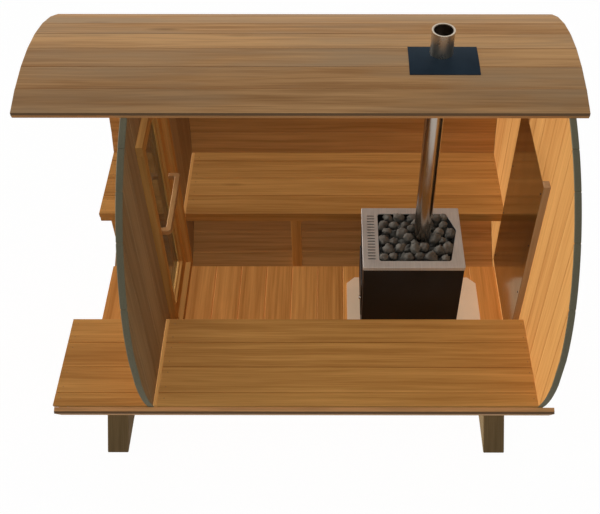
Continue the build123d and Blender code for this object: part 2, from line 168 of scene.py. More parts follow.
class WoodColours(bpy.types.PropertyGroup):
    """Light and dark grain colours of the woods, and the dark colours that paint shade on the door wall's
    inside and on the worn corners of the free edges.
    """

    weathered_pale: colour_property("Weathered, pale", "Outside of the staves", (0.70, 0.395, 0.172))
    weathered_deep: colour_property("Weathered, deep", "Outside of the staves", (0.4, 0.2, 0.075))
    weathered_grey: colour_property("Weathered, grey", "Greyed patches of the staves", (0.42, 0.28, 0.16))
    edge_pale: colour_property("Free edges", "Sawn edges of the front staves", (0.86, 0.46, 0.19))
    # The worn corner's colour is painted shade: one dark brown for the worn-off outer corner of the free
    # edges, where the stave's outer face turns away from the light.
    corner: colour_property("Worn corner", "Darkened corner of the front staves", (0.20, 0.12, 0.062))
    inside_pale: colour_property("Inside, pale", "Inside of the staves", (0.61, 0.325, 0.108))
    inside_deep: colour_property("Inside, deep", "Inside of the staves", (0.36, 0.172, 0.047))
    wall_pale: colour_property("Walls, pale", "End walls", (0.8, 0.42, 0.13))
    wall_deep: colour_property("Walls, deep", "End walls", (0.6, 0.27, 0.072))
    # The door wall's colours are painted shade: a darker copy of the wall wood for the inside of the door's
    # wall, which faces away from the key light.
    painted_shade_pale: colour_property("Door wall, pale", "Inside of the door's wall", (0.42, 0.28, 0.137))
    painted_shade_deep: colour_property("Door wall, deep", "Inside of the door's wall", (0.27, 0.165, 0.074))
    sawn_pale: colour_property("Sawn rims, pale", "Rims of the end walls", (0.26, 0.24, 0.15))
    sawn_deep: colour_property("Sawn rims, deep", "Rims of the end walls", (0.15, 0.14, 0.095))
    floor_pale: colour_property("Floors, pale", "Floors", (0.76, 0.36, 0.095))
    floor_deep: colour_property("Floors, deep", "Floors", (0.46, 0.185, 0.038))
    seat_pale: colour_property("Seats, pale", "Seats, door and doorway", (0.62, 0.325, 0.09))
    seat_deep: colour_property("Seats, deep", "Seats, door and doorway", (0.37, 0.168, 0.037))
    handle_pale: colour_property("Handles, pale", "Door handles", (0.47, 0.245, 0.090))
    handle_deep: colour_property("Handles, deep", "Door handles", (0.32, 0.155, 0.052))
    batten_pale: colour_property("Battens, pale", "Battens behind the heat shield", (0.48, 0.33, 0.18))
    batten_deep: colour_property("Battens, deep", "Battens behind the heat shield", (0.32, 0.21, 0.11))
    cradle_pale: colour_property("Cradles, pale", "Cradles", (0.26, 0.18, 0.085))
    cradle_deep: colour_property("Cradles, deep", "Cradles", (0.14, 0.095, 0.042))


class MetalColours(bpy.types.PropertyGroup):
    """Colours of the metals, the glass and the stones."""

    casing: colour_property("Casing", "Heater casing and the shield's screws", (0.0100, 0.0088, 0.0085))
    top_frame: colour_property("Top frame", "Frame around the stones", (0.53, 0.50, 0.45))
    steel: colour_property("Steel", "Flue, hinges and latch", (0.4, 0.35, 0.3))
    chimney: colour_property("Chimney", "Pipe over the roof", (0.56, 0.48, 0.38))
    brass: colour_property("Brass", "Screws in the seats", (0.30, 0.17, 0.07))
    flashing: colour_property("Flashing", "Roof flashing", (0.006, 0.017, 0.030))
    plate: colour_property("Plate", "Floor plate", (0.92, 0.7, 0.48))
    shield: colour_property("Shield", "Heat shield", (0.3, 0.26, 0.19))
    stone: colour_property("Stone", "Stones", (0.105, 0.096, 0.081))
    glass: colour_property("Glass", "Tint of the door's pane", (0.17, 0.18, 0.15))


class StageSettings(bpy.types.PropertyGroup):
    """Camera, light and ground."""

    camera_place: FloatVectorProperty(name="Camera", description="Place of the camera",
                                      default=(0.1281, -3.2101, 4.4117), subtype="TRANSLATION")
    camera_dip: FloatProperty(name="Dip", description="How far the camera looks down", subtype="ANGLE",
                              default=math.radians(46.88))
    camera_turn: FloatProperty(name="Turn", description="How far the camera turns to its left",
                               subtype="ANGLE", default=math.radians(0.08))
    focal_pixels: FloatProperty(name="Focal length", description="In pixels of the picture", default=918.61)
    centre_pixels: FloatVectorProperty(name="Centre", description="Pixel that the camera's axis goes through",
                                       size=2, default=(330.66, 226.60))
    picture_pixels: FloatVectorProperty(name="Picture", description="Width and height in pixels", size=2,
                                        default=(600, 514))
    sky: FloatProperty(name="Sky", description="Strength of the even light from all around", default=0.20)
    key: FloatProperty(name="Key", description="Strength of the light from the back left", default=2.7)
    fill: FloatProperty(name="Fill", description="Strength of the light from the front", default=0.4)


# Materials


class Nodes:
    """A node tree that is being put together."""

    def __init__(self, tree):
        self.tree = tree

    def fill(self, socket, value):
        """Links a socket to another node's output, or sets it to a number or a colour."""
        if isinstance(value, bpy.types.NodeSocket):
            self.tree.links.new(value, socket)
        else:
            socket.default_value = value

    def node(self, kind, inputs, **settings):
        """New node with these inputs, by name or number, and settings."""
        made = self.tree.nodes.new(kind)
        for name, value in settings.items():
            setattr(made, name, value)
        for socket, value in inputs.items():
            self.fill(made.inputs[socket], value)
        return made

    def math(self, operation, first, second):
        return self.node("ShaderNodeMath", {0: first, 1: second}, operation=operation).outputs[0]

    def total(self, *parts):
        """Sum of values, each times its share."""
        products = [self.math("MULTIPLY", value, share) for value, share in parts]
        result = products[0]
        for product in products[1:]:
            result = self.math("ADD", result, product)
        return result

    def spread(self, value, start, end, low_end=0.0, high_end=1.0):
        """Value brought from the range start to end into the range low_end to high_end, and kept in it."""
        inputs = {"Value": value, "From Min": start, "From Max": end, "To Min": low_end, "To Max": high_end}
        return self.node("ShaderNodeMapRange", inputs, clamp=True).outputs[0]

    def seen(self):
        """1 to the eye, also in a mirror or through glass, and 0 to the light that falls on things."""
        ray = self.node("ShaderNodeLightPath", {}).outputs
        by_way = self.math("MAXIMUM", ray["Is Glossy Ray"], ray["Is Transmission Ray"])
        return self.math("MAXIMUM", ray["Is Camera Ray"], by_way)


class Shader(Nodes):
    """A material whose nodes are being put together."""

    def __init__(self, name):
        self.material = bpy.data.materials.new(name)
        self.material.use_nodes = True
        super().__init__(self.material.node_tree)
        self.surface = self.tree.nodes["Principled BSDF"]

    def attribute(self, name, output="Vector"):
        return self.node("ShaderNodeAttribute", {}, attribute_name=name).outputs[output]

    def place(self):
        """Coordinates that stay with the object, in metres."""
        return self.node("ShaderNodeTexCoord", {}).outputs["Object"]

    def stretch(self, vector, scale):
        return self.node("ShaderNodeVectorMath", {0: vector, 1: scale}, operation="MULTIPLY").outputs[0]

    def shift(self, vector, amount):
        return self.node("ShaderNodeVectorMath", {0: vector, 1: amount}, operation="ADD").outputs[0]

    def noise(self, vector, scale=1.0, detail=3.0, roughness=0.55):
        inputs = {"Vector": vector, "Scale": scale, "Detail": detail, "Roughness": roughness}
        return self.node("ShaderNodeTexNoise", inputs).outputs["Fac"]

    def mix(self, factor, first, second):
        """Colours mixed by factor."""
        return self.node("ShaderNodeMix", {0: factor, 6: first, 7: second}, data_type="RGBA").outputs[2]

    def set(self, **sockets):
        """Sockets of the surface by name, with underscores for spaces."""
        for name, value in sockets.items():
            self.fill(self.surface.inputs[name.replace("_", " ")], value)

    def bump(self, height, strength, distance):
        inputs = {"Height": height, "Strength": strength, "Distance": distance}
        self.set(Normal=self.node("ShaderNodeBump", inputs).outputs[0])


def opaque(colour, factor=1.0, lift=0.0):
    """Opaque colour, made lighter or darker by a factor and lifted by a little light."""
    return (*(min(1.0, factor * part + lift) for part in colour), 1.0)


def wood(name, pale, deep, roughness=0.62, knots=0.75, contrast=1.0, across=(1, 1), greyed=None, varied=0.14):
    """Planed softwood. The grain runs along the first axis of the boards' grain coordinates.

    knots is the share of places for a knot that stay empty. across says how fine the grain is along the
    other two axes. greyed is a colour that the wood has turned to in patches. varied says how much the
    boards differ.
    """
    s = Shader(name)
    grain = s.attribute("grain")
    waver = s.math("MULTIPLY", s.noise(s.stretch(grain, (1.3, 6, 6)), detail=2.0), 0.030)
    wavy = s.shift(grain, s.node("ShaderNodeCombineXYZ", {1: waver}).outputs[0])

    def lines(lengthwise, crosswise, detail, evenness=0.55):
        """Noise drawn out along the grain."""
        scale = (lengthwise, crosswise * across[0], crosswise * across[1])
        return s.noise(s.stretch(wavy, scale), detail=detail, roughness=evenness)

    bands = lines(0.50, 24, 5.0, 0.60)
    streaks = lines(1.7, 62, 3.0)
    fibres = lines(4.0, 180, 2.0)
    patches = s.noise(s.stretch(grain, (0.8, 4, 4)), detail=3.0)
    shade = s.total((s.spread(bands, 0.36, 0.64), 0.42), (s.spread(streaks, 0.36, 0.64), 0.32),
                    (s.spread(fibres, 0.34, 0.66), 0.18), (s.spread(patches, 0.34, 0.66), 0.16))
    shade = s.total((shade, contrast), (s.attribute("tone", "Fac"), varied))
    colour = s.mix(s.spread(shade, 0.10, 0.98), opaque(pale), opaque(deep))
    if greyed:
        worn = s.noise(s.stretch(grain, (0.9, 5, 5)), detail=4.0, roughness=0.6)
        colour = s.mix(s.spread(worn, 0.42, 0.68, 0.0, 0.75), colour, opaque(greyed))
    cells = s.node("ShaderNodeTexVoronoi", {"Vector": s.stretch(wavy, (1.7, 7.0, 7.0)), "Scale": 1.0})
    chosen = s.node("ShaderNodeSeparateColor", {0: cells.outputs["Color"]}).outputs[0]
    knot = s.math("MULTIPLY", s.spread(cells.outputs["Distance"], 0.02, 0.17, 1.0, 0.0),
                  s.math("GREATER_THAN", chosen, knots))
    colour = s.mix(s.math("MULTIPLY", knot, 0.60), colour, opaque(deep, 0.50))
    s.set(Base_Color=colour, Roughness=s.spread(fibres, 0.2, 0.8, roughness - 0.06, roughness + 0.10),
          Specular_IOR_Level=0.12)
    s.bump(s.total((streaks, 0.6), (fibres, 0.4)), 0.22, 0.0012)
    return s.material


def end_grain(name, pale, deep):
    """Sawn ends and edges of softwood, with arcs of growth rings."""
    s = Shader(name)
    grain = s.attribute("grain")
    beside_heart = s.shift(s.stretch(grain, (0.05, 1, 1)), (0, 0.031, 0.094))
    rings = s.node("ShaderNodeTexWave", {"Vector": beside_heart, "Scale": 75.0, "Distortion": 2.5,
                                         "Detail": 2.0, "Detail Scale": 0.3},
                   wave_type="RINGS", rings_direction="X").outputs["Fac"]
    pores = s.noise(s.stretch(grain, (60, 240, 240)), detail=3.0)
    patches = s.noise(s.stretch(grain, (3, 9, 9)), detail=3.0)
    shade = s.total((rings, 0.35), (pores, 0.45), (patches, 0.35))
    s.set(Base_Color=s.mix(s.spread(shade, 0.25, 0.85), opaque(pale), opaque(deep)), Roughness=0.78,
          Specular_IOR_Level=0.2)
    s.bump(pores, 0.3, 0.0015)
    return s.material


def brushed_metal(name, colour, roughness, brush=(8, 8, 260), metallic=1.0):
    """Metal with fine brush marks. brush is how dense the marks are along X, Y and Z."""
    s = Shader(name)
    marks = s.noise(s.stretch(s.place(), brush), detail=3.0)
    smudges = s.noise(s.place(), scale=7.0, detail=4.0)
    blend = s.total((marks, 0.6), (smudges, 0.4))
    s.set(Base_Color=s.mix(s.spread(blend, 0.3, 0.7), opaque(colour, 0.82), opaque(colour, 1.12)),
          Metallic=metallic, Roughness=s.spread(smudges, 0.3, 0.7, roughness - 0.05, roughness + 0.07))
    s.bump(marks, 0.06, 0.0006)
    return s.material


def coated_metal(name, colour, roughness, dusting=1.25, speckle=420.0, shine=0.16):
    """Painted sheet with a fine texture in the coat and a little dust."""
    s = Shader(name)
    grit = s.noise(s.place(), scale=speckle, detail=2.0)
    dust = s.noise(s.place(), scale=5.0, detail=5.0, roughness=0.6)
    s.set(Base_Color=s.mix(s.spread(dust, 0.4, 0.75), opaque(colour), opaque(colour, dusting, 0.004)),
          Metallic=0.0, Roughness=s.spread(dust, 0.3, 0.7, roughness, roughness + 0.12),
          Specular_IOR_Level=shine)
    s.bump(grit, 0.10, 0.0005)
    return s.material


def polished_sheet(name, colour):
    """Dark sheet that mirrors the room softly."""
    s = Shader(name)
    ripple = s.noise(s.stretch(s.place(), (1, 2.2, 1.4)), scale=1.6, detail=1.0)
    stains = s.noise(s.stretch(s.place(), (1, 5, 2)), scale=2.0, detail=5.0)
    s.set(Base_Color=s.mix(s.spread(stains, 0.35, 0.7), opaque(colour), opaque(colour, 0.86)),
          Metallic=1.0, Roughness=s.spread(stains, 0.3, 0.7, 0.10, 0.17))
    s.bump(ripple, 0.10, 0.02)
    return s.material


def stone_surface(name, colour):
    """Dull rounded stone, each one a little different, with painted shade that darkens its hollows and the
    gaps between the stones.
    """
    s = Shader(name)
    place = s.place()
    blotches = s.noise(place, scale=34.0, detail=5.0, roughness=0.65)
    grit = s.noise(place, scale=330.0, detail=3.0, roughness=0.7)
    shade = s.total((s.spread(blotches, 0.3, 0.7), 0.45), (grit, 0.25), (s.attribute("tone", "Fac"), 0.45))
    mottled = s.mix(s.spread(shade, 0.0, 1.0), opaque(colour, 0.55), opaque(colour, 2.1))
    # Painted shade: ambient occlusion darkens the colour in the hollows and in the gaps between the stones.
    openness = s.node("ShaderNodeAmbientOcclusion", {"Distance": 0.045}).outputs["AO"]
    painted_hollow_shade = s.spread(openness, 0.25, 0.95, 0.10, 1.0)
    colour_with_painted_shade = s.node("ShaderNodeVectorMath", {0: mottled, "Scale": painted_hollow_shade}, operation="SCALE").outputs[0]
    s.set(Base_Color=colour_with_painted_shade, Roughness=0.86, Specular_IOR_Level=0.15)
    s.bump(s.math("ADD", blotches, s.math("MULTIPLY", grit, 0.6)), 0.55, 0.0025)
    return s.material


def tinted_pane(name, colour):
    """Toughened glass with a smoky tint."""
    s = Shader(name)
    film = s.noise(s.stretch(s.place(), (1, 3, 2)), scale=2.0, detail=3.0)
    s.set(Base_Color=opaque(colour), Transmission_Weight=0.82, IOR=1.45,
          Roughness=s.spread(film, 0.3, 0.7, 0.03, 0.08))
    return s.material


FINISHES = {}


def finish(name):
    """Material of this name, made the first time it is asked for."""
    if name not in FINISHES:
        woods = bpy.context.scene.sauna_woods
        metals = bpy.context.scene.sauna_metals
        makers = {
            "weathered_wood": lambda: wood(name, woods.weathered_pale, woods.weathered_deep,
                                           roughness=0.66, knots=0.68, contrast=1.2,
                                           greyed=woods.weathered_grey, varied=0.28),
            "free_edge": lambda: wood(name, woods.edge_pale, woods.weathered_deep, roughness=0.70, knots=0.9),
            # Painted shade: the worn-off corners of the free edges get one dark colour.
            "corner_painted_shade": lambda: wood(name, woods.corner, woods.corner, roughness=0.74, knots=0.99),
            "inside_wood": lambda: wood(name, woods.inside_pale, woods.inside_deep),
            "wall_wood": lambda: wood(name, woods.wall_pale, woods.wall_deep, roughness=0.60, knots=0.80),
            # Painted shade: a darker copy of the wall wood for the door wall's inside.
            "wall_painted_shade": lambda: wood(name, woods.painted_shade_pale, woods.painted_shade_deep, knots=0.80, varied=0.24),
            "floor_wood": lambda: wood(name, woods.floor_pale, woods.floor_deep),
            "seat_wood": lambda: wood(name, woods.seat_pale, woods.seat_deep),
            "trim_wood": lambda: wood(name, woods.wall_pale, woods.seat_pale, roughness=0.55, knots=0.99,
                                      contrast=0.8),
            "handle_wood": lambda: wood(name, woods.handle_pale, woods.handle_deep, roughness=0.55,
                                        knots=0.99, contrast=0.6),
            "batten_wood": lambda: wood(name, woods.batten_pale, woods.batten_deep, roughness=0.66,
                                        knots=0.9),
            "cradle_wood": lambda: wood(name, woods.cradle_pale, woods.cradle_deep, roughness=0.74,
                                        knots=0.95, across=(0.06, 1.3)),
            "cut_end": lambda: end_grain(name, woods.seat_pale, woods.seat_deep),
            "sawn_rim": lambda: end_grain(name, woods.sawn_pale, woods.sawn_deep),
            "sawn_end": lambda: end_grain(name, woods.weathered_pale, woods.weathered_deep),
            "casing": lambda: coated_metal(name, metals.casing, roughness=0.42),
            "flashing": lambda: coated_metal(name, metals.flashing, roughness=0.28, dusting=1.3,
                                             speckle=60.0, shine=0.08),
            "plate": lambda: coated_metal(name, metals.plate, roughness=0.50, dusting=1.08),
            "top_frame": lambda: brushed_metal(name, metals.top_frame, roughness=0.46, brush=(220, 9, 9),
                                               metallic=0.25),
            "steel": lambda: brushed_metal(name, metals.steel, roughness=0.20, brush=(160, 160, 3)),
            "chimney": lambda: brushed_metal(name, metals.chimney, roughness=0.27, brush=(160, 160, 3)),
            "brass": lambda: brushed_metal(name, metals.brass, roughness=0.45),
            "shield": lambda: polished_sheet(name, metals.shield),
            "stone": lambda: stone_surface(name, metals.stone),
            "pane": lambda: tinted_pane(name, metals.glass),
        }
        FINISHES[name] = makers[name]()
    return FINISHES[name]


def refinish(node, name):
    """Gives this finish to a frame node that otherwise stays as it is."""
    materials = NODES[node].data.materials
    materials.clear()
    materials.append(finish(name))


# Boards


def placed(origin, across, up):
    """Matrix from a board's own across, up and out axes to the frame's."""
    across = Vector(across)
    up = Vector(up)
    matrix = Matrix((across, up, across.cross(up))).transposed().to_4x4()
    matrix.translation = origin
    return matrix


def section(left, height):
    """Matrix for a board whose outline is a section across the barrel, and which runs to the right."""
    return placed((left, 0, height), (0, 1, 0), (0, 0, 1))


def rectangle(left, bottom, right, top):
    return [(left, bottom), (right, bottom), (right, top), (left, top)]


class Boards:
    """Boards gathered into one mesh. Each keeps its own grain direction, grain offset and tone."""

    SHARP = math.radians(25)
    PARTS = {"across": 0, "up": 1, "out": 2}
    GRAIN_SPREAD = (9, 3, 3)

    def __init__(self, seed):
        self.chance = random.Random(seed)
        self.verts, self.faces, self.grain, self.tone, self.finish = [], [], [], [], []

    def add(self, outline, place, depth, along, bevel, finish_of=None):
        """Board with this outline in its across and up axes, and depth thick along out.

        along names the one of its axes that its grain follows. finish_of gives the material's number
        for a face from its normal and middle in the board's own axes.
        """
        board = bmesh.new()
        front = [board.verts.new((u, v, 0)) for u, v in outline]
        back = [board.verts.new((u, v, depth)) for u, v in outline]
        board.faces.new(front)
        board.faces.new(back)
        for i in range(len(outline)):
            j = (i + 1) % len(outline)
            board.faces.new((front[i], front[j], back[j], back[i]))
        bmesh.ops.recalc_face_normals(board, faces=board.faces)
        sharp = [e for e in board.edges if e.calc_face_angle() > self.SHARP]
        bmesh.ops.bevel(board, geom=sharp, offset=bevel, segments=1, affect="EDGES", clamp_overlap=True)
        board.normal_update()
        lengthwise = self.PARTS[along]
        order = (lengthwise, (lengthwise + 1) % 3, (lengthwise + 2) % 3)
        offset = [self.chance.uniform(0, spread) for spread in self.GRAIN_SPREAD]
        tone = self.chance.uniform(-1, 1)
        first = len(self.verts)
        self.verts += [place @ v.co for v in board.verts]
        board.verts.index_update()
        for face in board.faces:
            self.faces.append([first + v.index for v in face.verts])
            self.finish.append(finish_of(face.normal, face.calc_center_median()) if finish_of else 0)
            for v in face.verts:
                self.grain += [v.co[axis] + shift for axis, shift in zip(order, offset)]
                self.tone.append(tone)
        board.free()

    def piece(self, name, body, slot, finishes, replaces=()):
        """Object made of the boards gathered so far."""
        mesh = bpy.data.meshes.new(name)
        mesh.from_pydata(self.verts, [], self.faces)
        for finish_name in finishes:
            mesh.materials.append(finish(finish_name))
        mesh.polygons.foreach_set("material_index", self.finish)
        mesh.attributes.new("grain", "FLOAT_VECTOR", "CORNER").data.foreach_set("vector", self.grain)
        mesh.attributes.new("tone", "FLOAT", "CORNER").data.foreach_set("value", self.tone)
        mesh.update()
        return settled(bpy.data.objects.new(name, mesh), body, replaces)


def settled(piece, body, replaces=()):
    """Links a piece, and says what it rides on and the nodes that it stands for."""
    bpy.context.scene.collection.objects.link(piece)
    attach(piece, body)
    if replaces:
        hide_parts(*replaces)
    return piece


def along_faces(lengthwise):
    """Second material on the ends of a board whose grain runs along this own axis."""
    part = Boards.PARTS[lengthwise]
    return lambda normal, middle: 1 if abs(normal[part]) > SQUARE_ON else 0


def arc_points(radius, start, end, steps):
    """Points on a circle around the origin from angle start to end, both included."""
    return [(radius * math.cos(start + (end - start) * k / steps),
             radius * math.sin(start + (end - start) * k / steps)) for k in range(steps + 1)]


def screws(name, body, points, normal, radius, finish_name="steel"):
    """Countersunk screw heads with a recess, at points on a surface with this normal."""
    heads = bmesh.new()
    turn = Vector(normal).to_track_quat("Z", "Y").to_matrix().to_4x4()
    rings = ((1.0, 0.0), (1.0, 0.10), (0.86, 0.22), (0.42, 0.24), (0.34, -0.05))
    sides = 12
    for point in points:
        place = Matrix.Translation(point) @ turn
        loops = []
        for scale, rise in rings:
            circle = arc_points(radius * scale, 0, math.tau, sides)[:-1]
            loops.append([heads.verts.new(place @ Vector((u, v, radius * rise))) for u, v in circle])
        for inner, outer in zip(loops[1:], loops):
            for k in range(sides):
                heads.faces.new((outer[k], outer[(k + 1) % sides], inner[(k + 1) % sides], inner[k]))
        heads.faces.new(loops[-1])
    mesh = bpy.data.meshes.new(name)
    heads.to_mesh(mesh)
    heads.free()
    mesh.materials.append(finish(finish_name))
    return settled(bpy.data.objects.new(name, mesh), body)


# Shell and what is cut to it


def stave_pitch(shell):
    """Angle from stave to stave."""
    return math.tau / shell.staves


def stave_direction(shell, index):
    """Sideways and upward part of a stave's direction, counted from the roof's front edge over the top."""
    angle = math.pi / 2 + shell.front_edge - (index + 0.5) * stave_pitch(shell)
    return math.cos(angle), math.sin(angle)


def hollow_radius(shell):
    """Radius of what just fits inside the shell."""
    clearance = bpy.context.scene.sauna_walls.clearance
    return shell.radius * math.cos(stave_pitch(shell) / 2) - shell.thickness - clearance


def shell_reach(shell, height, side):
    """Distance from the axis to the staves at this height over the axis, at the back (+1) or front (-1)."""
    radius = hollow_radius(shell)
    directions = [stave_direction(shell, index) for index in range(shell.staves)]
    return min((radius - height * up) / (side * out) for out, up in directions if side * out > FACING)


def shell_bottom(shell, y):
    """Height over the axis of the staves below this place."""
    radius = hollow_radius(shell)
    directions = [stave_direction(shell, index) for index in range(shell.staves)]
    return max((radius - y * out) / up for out, up in directions if up < -FACING)


def underside(shell, start, width, steps=4):
    """Points along the underside of a member that stands on the staves, from start over its width."""
    places = [start + width * k / steps for k in range(steps + 1)]
    return [(y, shell_bottom(shell, y)) for y in places]


def seat_outline(shell, inner, outer, bottom, top, side):
    """Section of a seat member from inner to outer, cut to the staves, at the front or back."""
    low_end = min(outer, shell_reach(shell, bottom, side))
    high_end = min(outer, shell_reach(shell, top, side))
    points = [(inner, bottom), (low_end, bottom), (high_end, top), (inner, top)]
    return points if side > 0 else [(-y, z) for y, z in reversed(points)]


class SAUNA_OT_shell(bpy.types.Operator):
    """Staves of the barrel, with the hole for the chimney"""

    bl_idname = "sauna.shell"
    bl_label = "Shell of staves"
    GROUPS = ("roof_staves", "back_staves", "lower_back_staves", "lower_front_staves")
    # The last finish is a dark colour that paints the shade of the stave's outer face along the worn corners
    # of the free edges.
    WOODS = ("inside_wood", "weathered_wood", "sawn_end", "free_edge", "corner_painted_shade")
    INSIDE, OUTSIDE, SAWN_END, FREE_EDGE, WORN_CORNER = range(5)
    # How far a face's normal points outwards on the outside, and sideways in a worn corner
    OUTWARD = 0.5
    SLANTED = 0.1

    def execute(self, context):
        sizes = context.scene.sauna_shell
        half_pitch = stave_pitch(sizes) / 2
        apothem = sizes.radius * math.cos(half_pitch)
        outer = sizes.radius * math.sin(half_pitch) - sizes.joint / 2
        inner = outer - sizes.thickness * math.tan(half_pitch)
        outline = [(-inner, apothem - sizes.thickness), (inner, apothem - sizes.thickness),
                   (outer, apothem), (-outer, apothem)]
        left_worn = outline[:3] + [(-outer + sizes.worn / 2, apothem), (-outer, apothem - sizes.worn)]
        right_worn = outline[:2] + [(outer, apothem - sizes.worn), (outer - sizes.worn / 2, apothem),
                                    outline[3]]
        present = sizes.staves - sizes.missing
        free_outlines = {0: left_worn, present - 1: right_worn}
        left = low("back_staves", X)
        length = high("back_staves", X) - left

        def faces(normal, middle):
            if abs(normal[2]) > SQUARE_ON:
                return self.SAWN_END
            return self.OUTSIDE if normal[1] > self.OUTWARD else self.INSIDE

        def free_faces(normal, middle):
            """As faces, on a stave whose side is free and whose outer corner is worn off."""
            if abs(normal[0]) > SQUARE_ON:
                return self.FREE_EDGE
            # Faces in the worn-off corner get the dark finish of painted shade.
            in_corner = abs(middle[0]) > outer - sizes.worn and middle[1] > apothem - sizes.worn
            return self.WORN_CORNER if in_corner and abs(normal[0]) > self.SLANTED else faces(normal, middle)

        for group, node in enumerate(self.GROUPS):
            boards = Boards(seed=11 + group)
            first, end = (number * present // len(self.GROUPS) for number in (group, group + 1))
            for index in range(first, end):
                out, up = stave_direction(sizes, index)
                place = placed((left, 0, sizes.axis_height), (0, up, -out), (0, out, up))
                if index in free_outlines:
                    boards.add(free_outlines[index], place, length, "out", sizes.free_bevel, free_faces)
                else:
                    boards.add(outline, place, length, "out", sizes.bevel, faces)
            piece = boards.piece(node + "_boards", "barrel", "shell_wood", self.WOODS, (node,))
            if node == "roof_staves":
                self.cut_flue_hole(piece, sizes.flue_hole)
        return {"FINISHED"}

    def cut_flue_hole(self, piece, radius):
        """Cuts the round hole for the chimney out of the roof."""
        cutter_length = 0.6
        cutter_mesh = bmesh.new()
        centre = (Vector(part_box("chimney_pipe")[0]) + Vector(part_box("chimney_pipe")[1])) / 2
        bmesh.ops.create_cone(cutter_mesh, cap_ends=True, segments=64, radius1=radius, radius2=radius,
                              depth=cutter_length, matrix=Matrix.Translation(centre))
        mesh = bpy.data.meshes.new("flue_hole")
        cutter_mesh.to_mesh(mesh)
        cutter_mesh.free()
        cutter = bpy.data.objects.new("flue_hole", mesh)
        bpy.context.scene.collection.objects.link(cutter)
        hole = piece.modifiers.new("flue_hole", "BOOLEAN")
        hole.object = cutter
        hole.operation = "DIFFERENCE"
        hole.solver = "EXACT"
        bpy.context.view_layer.update()
        cut = bpy.data.meshes.new_from_object(piece.evaluated_get(bpy.context.evaluated_depsgraph_get()))
        piece.modifiers.clear()
        piece.data = cut
        bpy.data.objects.remove(cutter)


def wall_boards(boards, node, sizes, gap=None):
    """Upright boards of a round wall as deep as this node, less a gap (half width, bottom, top)."""
    shell = bpy.context.scene.sauna_shell
    radius = hollow_radius(shell)
    depth = high(node, X) - low(node, X)
    place = section(low(node, X), shell.axis_height)
    count = math.ceil(radius / sizes.pitch)
    rim_zone = 0.012
    rim_margin = 0.004
    gap_margin = 0.01
    arc_steps = 10

    def faces(normal, middle):
        """0 on the left side, 1 on the rim and in the joints, 2 on the right side."""
        on_rim = math.hypot(middle[0], middle[1]) > radius - rim_zone
        if abs(normal[0]) > SQUARE_ON or on_rim and abs(normal[2]) < NEARLY_ON:
            return 1
        return 2 if normal[2] > 0 else 0

    for i in range(-count, count):
        start = max(i * sizes.pitch, -radius + rim_margin) + sizes.joint / 2
        end = min((i + 1) * sizes.pitch, radius - rim_margin) - sizes.joint / 2
        across = [start + (end - start) * k / arc_steps for k in range(arc_steps + 1)]
        top = [(y, math.sqrt(radius**2 - y**2)) for y in across]
        bottom = [(y, -z) for y, z in top]
        outlines = [bottom + top[::-1]]
        if gap and max(abs(start), abs(end)) < gap[0] + gap_margin:
            sill, head = gap[1] - shell.axis_height, gap[2] - shell.axis_height
            outlines = [bottom + [(end, sill), (start, sill)], [(start, head), (end, head)] + top[::-1]]
        for outline in outlines:
            boards.add(outline, place, depth, "up", sizes.bevel, faces)


class SAUNA_OT_end_walls(bpy.types.Operator):
    """Round end walls of upright boards"""

    bl_idname = "sauna.end_walls"
    bl_label = "End walls"

    def execute(self, context):
        sizes = context.scene.sauna_walls
        rear = Boards(seed=31)
        wall_boards(rear, "rear_wall", sizes)
        rear.piece("rear_wall_boards", "barrel", "wall_wood", ("wall_wood", "sawn_rim", "wall_wood"),
                   ("rear_wall",))
        door_side = Boards(seed=32)
        gap = (high("door_jambs", Y), low("door_sill", Z), high("door_head", Z))
        wall_boards(door_side, "door_wall_front", sizes, gap)
        # The door wall's inside, its right side, gets the darker copy of the wall wood as painted shade.
        door_side.piece("door_wall_boards", "barrel", "wall_wood", ("wall_wood", "sawn_rim", "wall_painted_shade"),
                        ("door_wall_front", "door_wall_back", "door_wall_over", "door_wall_under"))
        return {"FINISHED"}


def box_board(boards, node_low, node_high, along, bevel):
    """Board that fills a box between two corners, its grain along the axis X, Y or Z."""
    sizes = [b - a for a, b in zip(node_low, node_high)]
    place = placed(node_low, (1, 0, 0), (0, 1, 0))
    own = {X: "across", Y: "up", Z: "out"}[along]
    boards.add(rectangle(0, 0, sizes[X], sizes[Y]), place, sizes[Z], own, bevel, along_faces(own))


class SAUNA_OT_doorway(bpy.types.Operator):
    """Frame around the doorway"""

    bl_idname = "sauna.doorway"
    bl_label = "Doorway"

    def execute(self, context):
        bevel = context.scene.sauna_door.bevel
        boards = Boards(seed=41)
        for node in ("door_head", "door_sill"):
            box_board(boards, *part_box(node), Y, bevel)
        node_low, node_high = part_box("door_jambs")
        width = high("door_head", Z) - low("door_head", Z)
        for start, end in both_ends(node_low[Y], node_high[Y], width):
            box_board(boards, (node_low[X], start, node_low[Z]), (node_high[X], end, node_high[Z]), Z, bevel)
        boards.piece("door_frame_boards", "barrel", "frame_wood", ("seat_wood", "cut_end"),
                     ("door_head", "door_sill", "door_jambs"))
        return {"FINISHED"}


